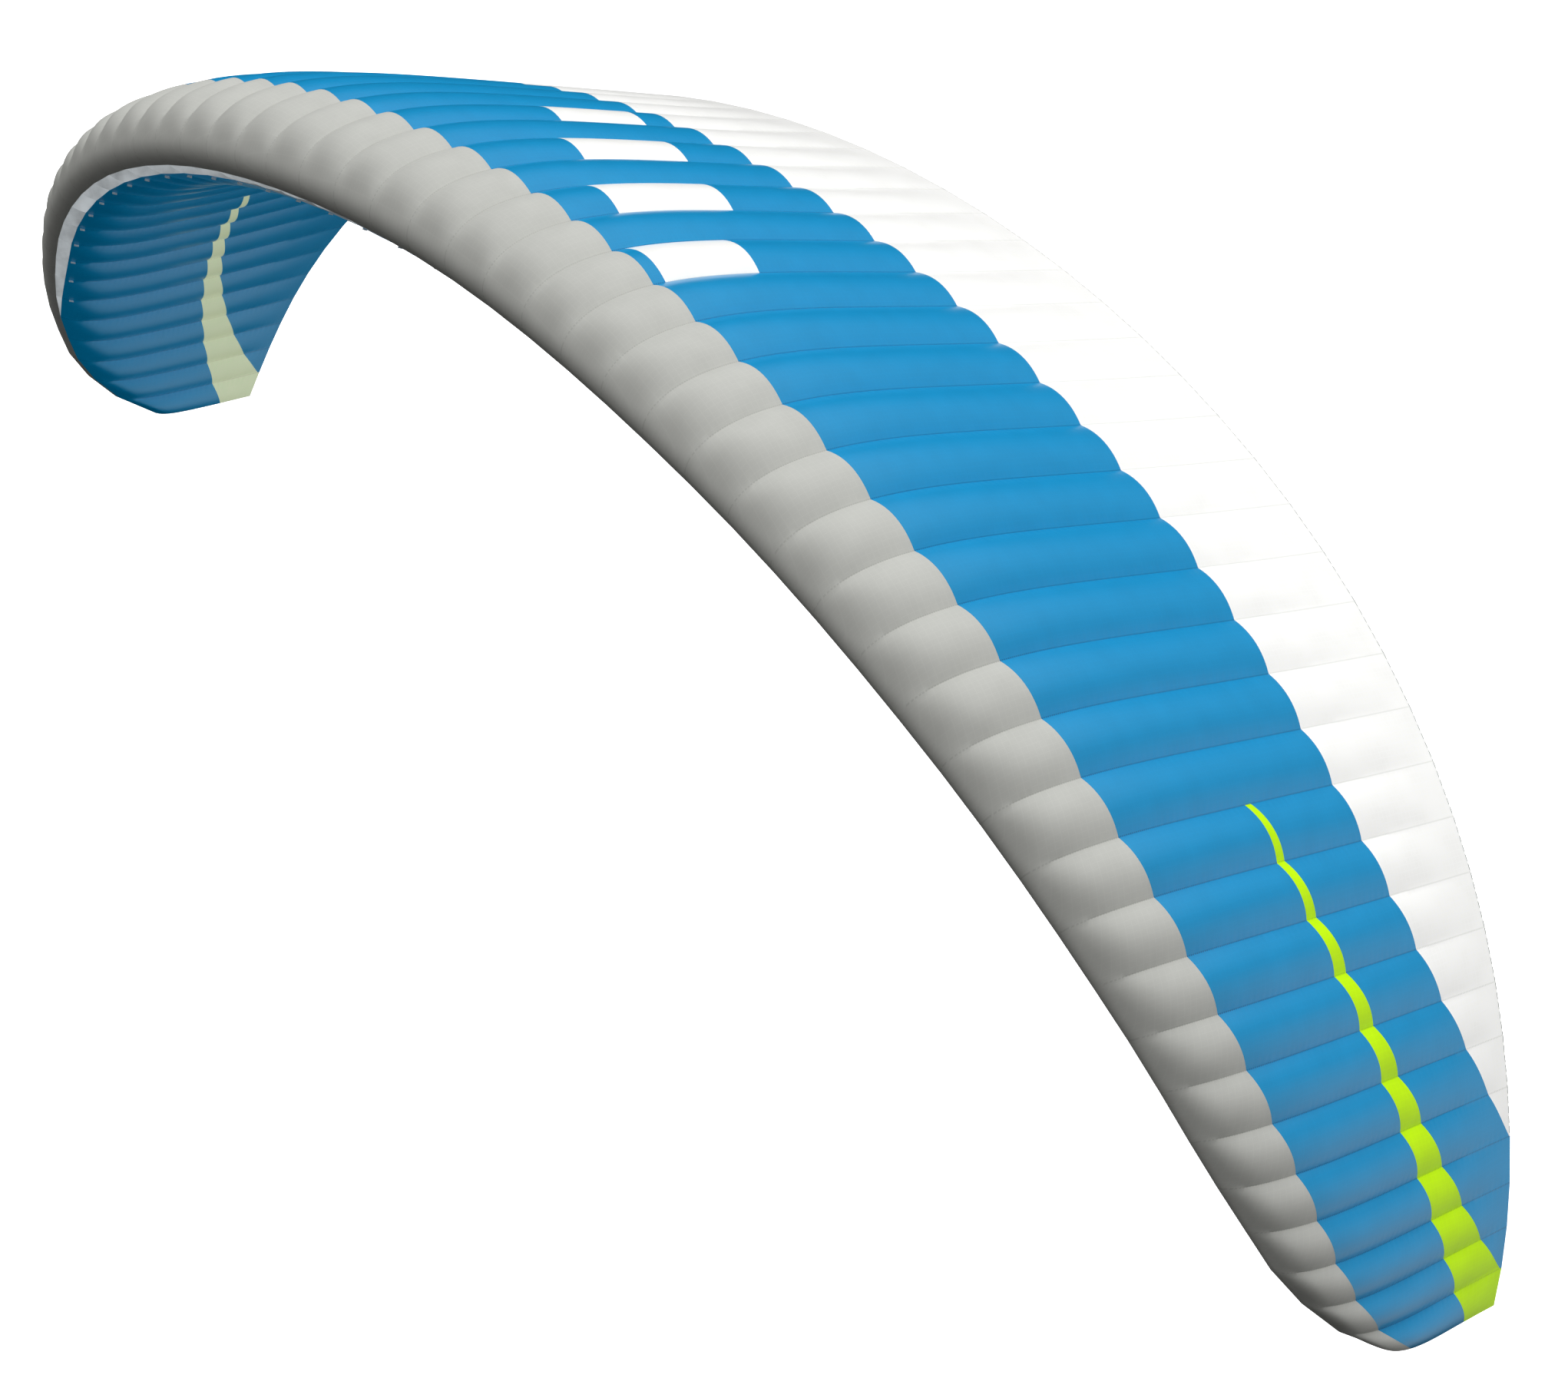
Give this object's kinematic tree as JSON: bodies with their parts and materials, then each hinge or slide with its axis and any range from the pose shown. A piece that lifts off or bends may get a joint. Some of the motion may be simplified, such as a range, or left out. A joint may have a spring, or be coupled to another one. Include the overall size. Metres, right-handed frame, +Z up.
{
  "type": "tandem paraglider wing",
  "caption": "Ram-air paraglider wing in flight: arched span of billowed cells with open nose intakes, two cloth skins on inner ribs, and a long tapering stripe at each tip.",
  "frame": {"origin": "on the middle line of the wing, at its underside, level with the front row of line tabs", "axes": "+X along the span towards the pilot's left tip, -Y the way the wing flies, +Z up"},
  "size_m": [11.9564, 3.3155, 4.0112],
  "materials": {
    "nose_cloth": "satin",
    "main_cloth": "satin",
    "rear_cloth": "matte",
    "stripe_cloth": "satin",
    "underside_cloth": "matte",
    "underside_stripe_cloth": "matte",
    "rib_cloth": "matte"
  },
  "bodies": {
    "root": {"top_nose": "nose_cloth", "top_main": "main_cloth", "top_rear": "rear_cloth", "underside_main": "underside_cloth", "top_stripe_left": "stripe_cloth", "top_stripe_right": "stripe_cloth", "underside_stripe_left": "underside_stripe_cloth", "underside_stripe_right": "underside_stripe_cloth", "rib_00": "rib_cloth", "rib_01": "rib_cloth", "rib_02": "rib_cloth", "rib_03": "rib_cloth", "rib_04": "rib_cloth", "rib_05": "rib_cloth", "rib_06": "rib_cloth", "rib_07": "rib_cloth", "rib_08": "rib_cloth", "rib_09": "rib_cloth", "rib_10": "rib_cloth", "rib_11": "rib_cloth", "rib_12": "rib_cloth", "rib_13": "rib_cloth", "rib_14": "rib_cloth", "rib_15": "rib_cloth", "rib_16": "rib_cloth", "rib_17": "rib_cloth", "rib_18": "rib_cloth", "rib_19": "rib_cloth", "rib_20": "rib_cloth", "rib_21": "rib_cloth", "rib_22": "rib_cloth", "rib_23": "rib_cloth", "rib_24": "rib_cloth", "rib_25": "rib_cloth", "rib_26": "rib_cloth", "rib_27": "rib_cloth", "rib_28": "rib_cloth", "rib_29": "rib_cloth", "rib_30": "rib_cloth", "rib_31": "rib_cloth", "rib_32": "rib_cloth", "rib_33": "rib_cloth", "rib_34": "rib_cloth", "rib_35": "rib_cloth", "rib_36": "rib_cloth", "rib_37": "rib_cloth", "rib_38": "rib_cloth", "rib_39": "rib_cloth", "rib_40": "rib_cloth", "rib_41": "rib_cloth", "rib_42": "rib_cloth", "rib_43": "rib_cloth", "rib_44": "rib_cloth", "rib_45": "rib_cloth", "rib_46": "rib_cloth", "rib_47": "rib_cloth", "rib_48": "rib_cloth", "rib_49": "rib_cloth", "rib_50": "rib_cloth", "rib_51": "rib_cloth"}
  },
  "joints": []
}
